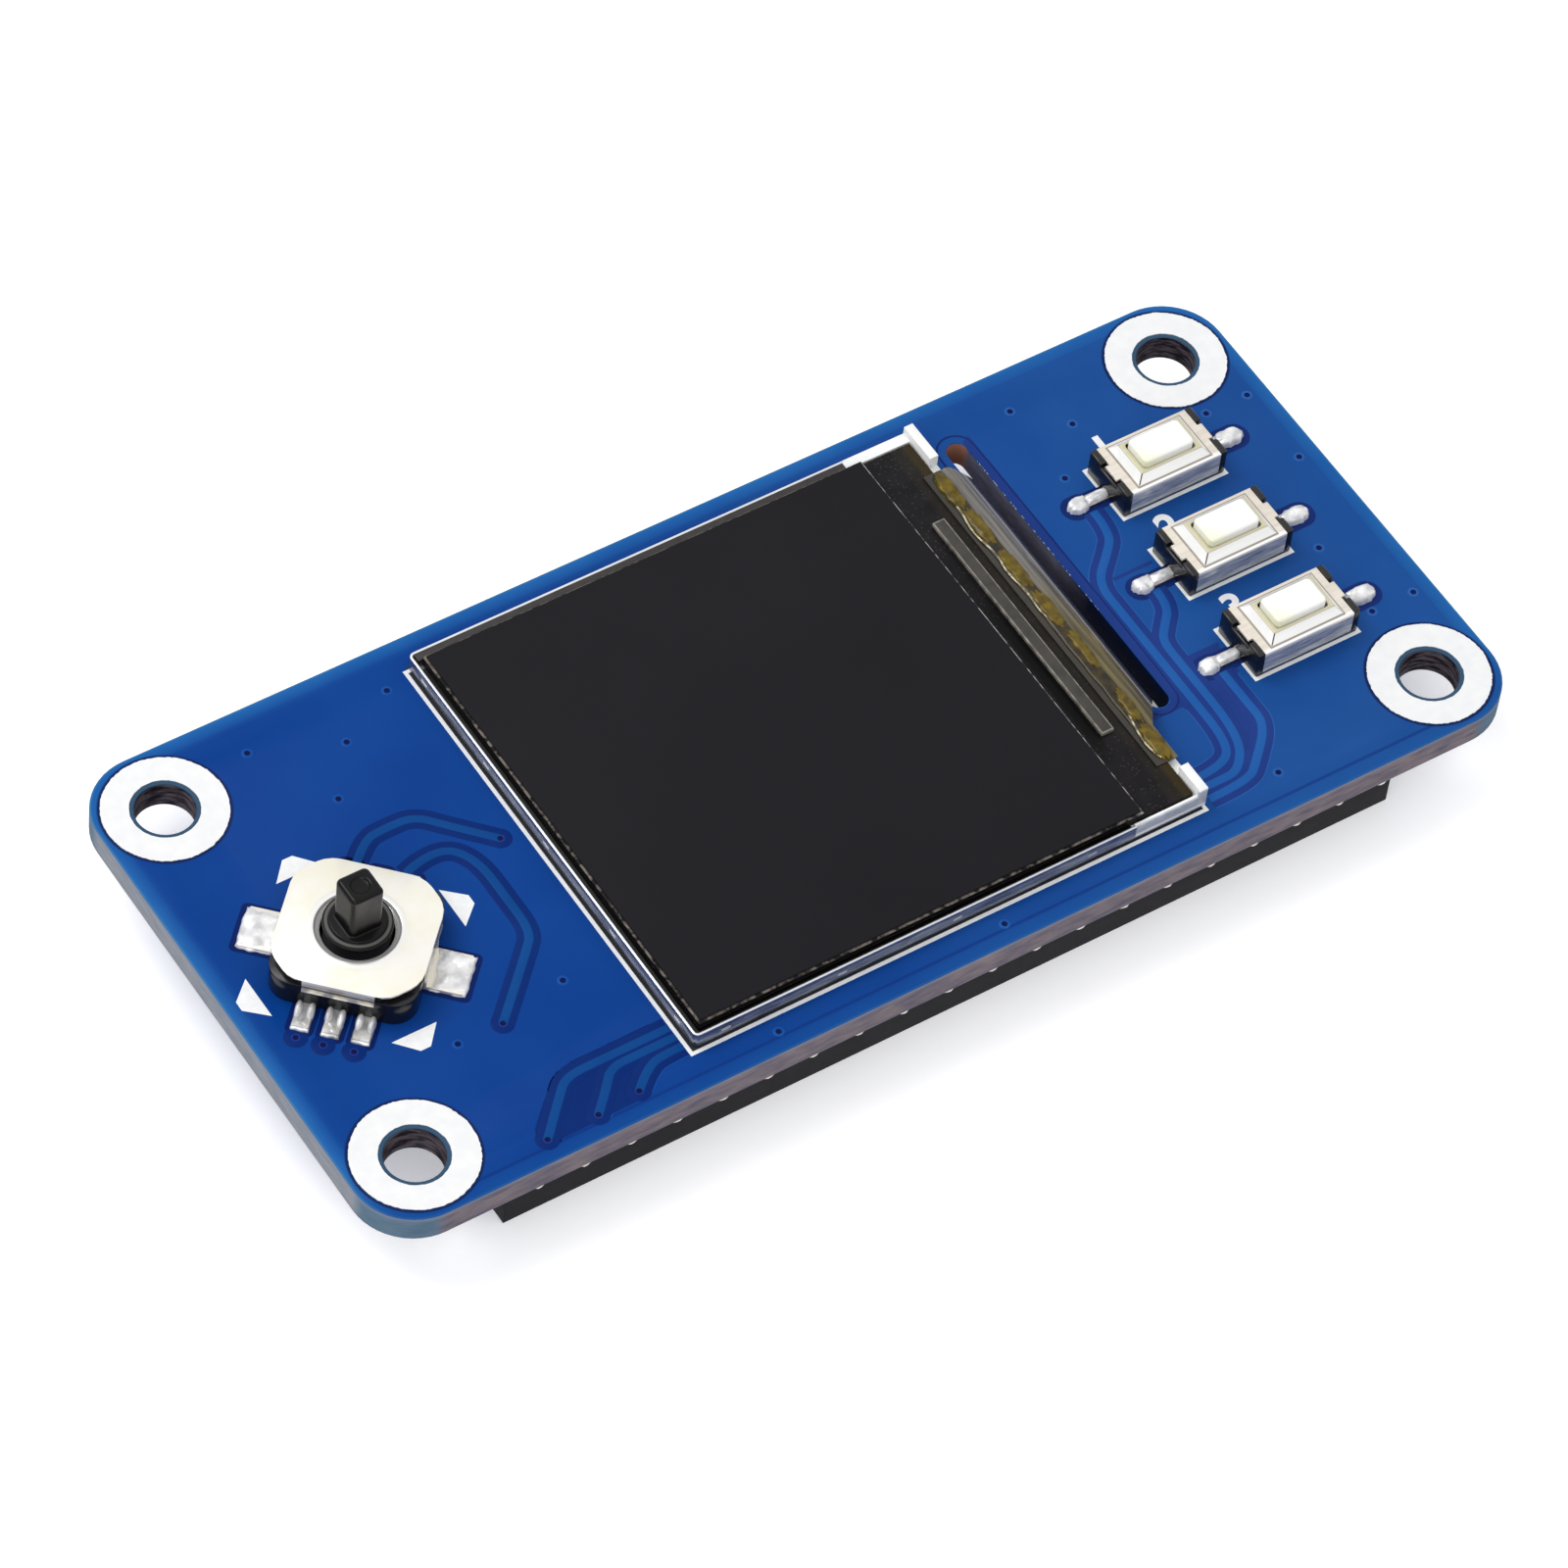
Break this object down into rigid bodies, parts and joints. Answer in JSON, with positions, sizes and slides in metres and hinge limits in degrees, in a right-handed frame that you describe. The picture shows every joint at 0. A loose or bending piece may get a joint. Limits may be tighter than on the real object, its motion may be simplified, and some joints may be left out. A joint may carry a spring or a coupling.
{
  "type": "lcd display hat",
  "caption": "Small add-on circuit board with a square colour display, a row of press keys and a five-way stick on top, and a low pin socket strip below.",
  "frame": {"origin": "centre of the four mounting holes, on the board's underside", "axes": "+X along the board towards the press keys, +Y across it away from the socket strip, +Z out of the display side"},
  "size_m": [0.065, 0.03, 0.0103],
  "materials": {
    "blue_mask": "blue solder mask on a glass-fibre board",
    "tinned_copper": "hot-air levelled tin",
    "white_print": "white printed ink",
    "black_moulding": "black heat-proof moulding",
    "plated_contact": "plated spring contact",
    "black_tape": "double-sided foam tape",
    "bright_steel": "pressed bright plated steel",
    "white_moulding": "white moulded plastic",
    "clear_acrylic": "clear light guide",
    "milky_film": "milky diffusing film",
    "dark_film": "dark polarising film",
    "display_glass": "thin dark display glass",
    "screen_film": "dark satin polarising film",
    "bare_silicon": "bare silicon strip",
    "amber_flex": "amber flexible circuit",
    "amber_glue": "amber glue bead",
    "solder": "bright solder",
    "ivory_moulding": "ivory moulded plastic",
    "chip_black": "black chip body",
    "chip_tan": "tan ceramic"
  },
  "bodies": {
    "board": {"circuit_board": "blue_mask", "hole_rings": "tinned_copper", "board_print": "white_print", "header_housing": "black_moulding", "header_contacts": "plated_contact", "header_pads": "tinned_copper", "mounting_tape": "black_tape", "backlight_tray": "bright_steel", "backlight_frame": "white_moulding", "light_guide": "clear_acrylic", "optical_films": "milky_film", "rear_polariser": "dark_film", "tft_glass": "display_glass", "colour_filter_glass": "display_glass", "front_polariser": "screen_film", "driver_chip": "bare_silicon", "display_flex": "amber_flex", "flex_glue": "amber_glue", "flex_solder": "solder", "key_solder": "solder", "joystick_solder": "solder", "joystick_base": "black_moulding", "joystick_cover": "bright_steel", "joystick_leads": "plated_contact", "joystick_domes": "bright_steel", "resistor_bodies": "chip_black", "resistor_ends": "solder", "capacitor_bodies": "chip_tan", "capacitor_ends": "solder", "transistor_body": "chip_black", "transistor_leads": "solder", "key_1_base": "black_moulding", "key_1_cover": "bright_steel", "key_1_dome": "bright_steel", "key_1_leads": "plated_contact", "key_2_base": "black_moulding", "key_2_cover": "bright_steel", "key_2_dome": "bright_steel", "key_2_leads": "plated_contact", "key_3_base": "black_moulding", "key_3_cover": "bright_steel", "key_3_dome": "bright_steel", "key_3_leads": "plated_contact"},
    "key_1": {"key_1_plunger": "ivory_moulding"},
    "key_2": {"key_2_plunger": "ivory_moulding"},
    "key_3": {"key_3_plunger": "ivory_moulding"},
    "stick_gimbal": {"joystick_gimbal": "black_moulding"},
    "stick_driver": {"joystick_driver": "black_moulding"},
    "stick": {"joystick_stem": "black_moulding"}
  },
  "joints": [
    {"name": "key_1_press", "type": "slide", "parent": "board", "child": "key_1", "axis": [0, 0, -1], "range_m": [0, 0.00025], "stiffness_N_per_m": 800},
    {"name": "key_2_press", "type": "slide", "parent": "board", "child": "key_2", "axis": [0, 0, -1], "range_m": [0, 0.00025], "stiffness_N_per_m": 800},
    {"name": "key_3_press", "type": "slide", "parent": "board", "child": "key_3", "axis": [0, 0, -1], "range_m": [0, 0.00025], "stiffness_N_per_m": 800},
    {"name": "stick_tilt_x", "type": "hinge", "parent": "board", "child": "stick_gimbal", "pos_m": [-0.02543, -0.00022, 0.00275], "axis": [1, 0, 0], "range_deg": [-7, 7], "stiffness_Nm_per_rad": 0.01},
    {"name": "stick_tilt_y", "type": "hinge", "parent": "stick_gimbal", "child": "stick_driver", "pos_m": [-0.02543, -0.00022, 0.00275], "axis": [0, 1, 0], "range_deg": [-7, 7], "stiffness_Nm_per_rad": 0.01},
    {"name": "stick_press", "type": "slide", "parent": "stick_driver", "child": "stick", "axis": [0, 0, -1], "range_m": [0, 0.00018], "stiffness_N_per_m": 800}
  ]
}
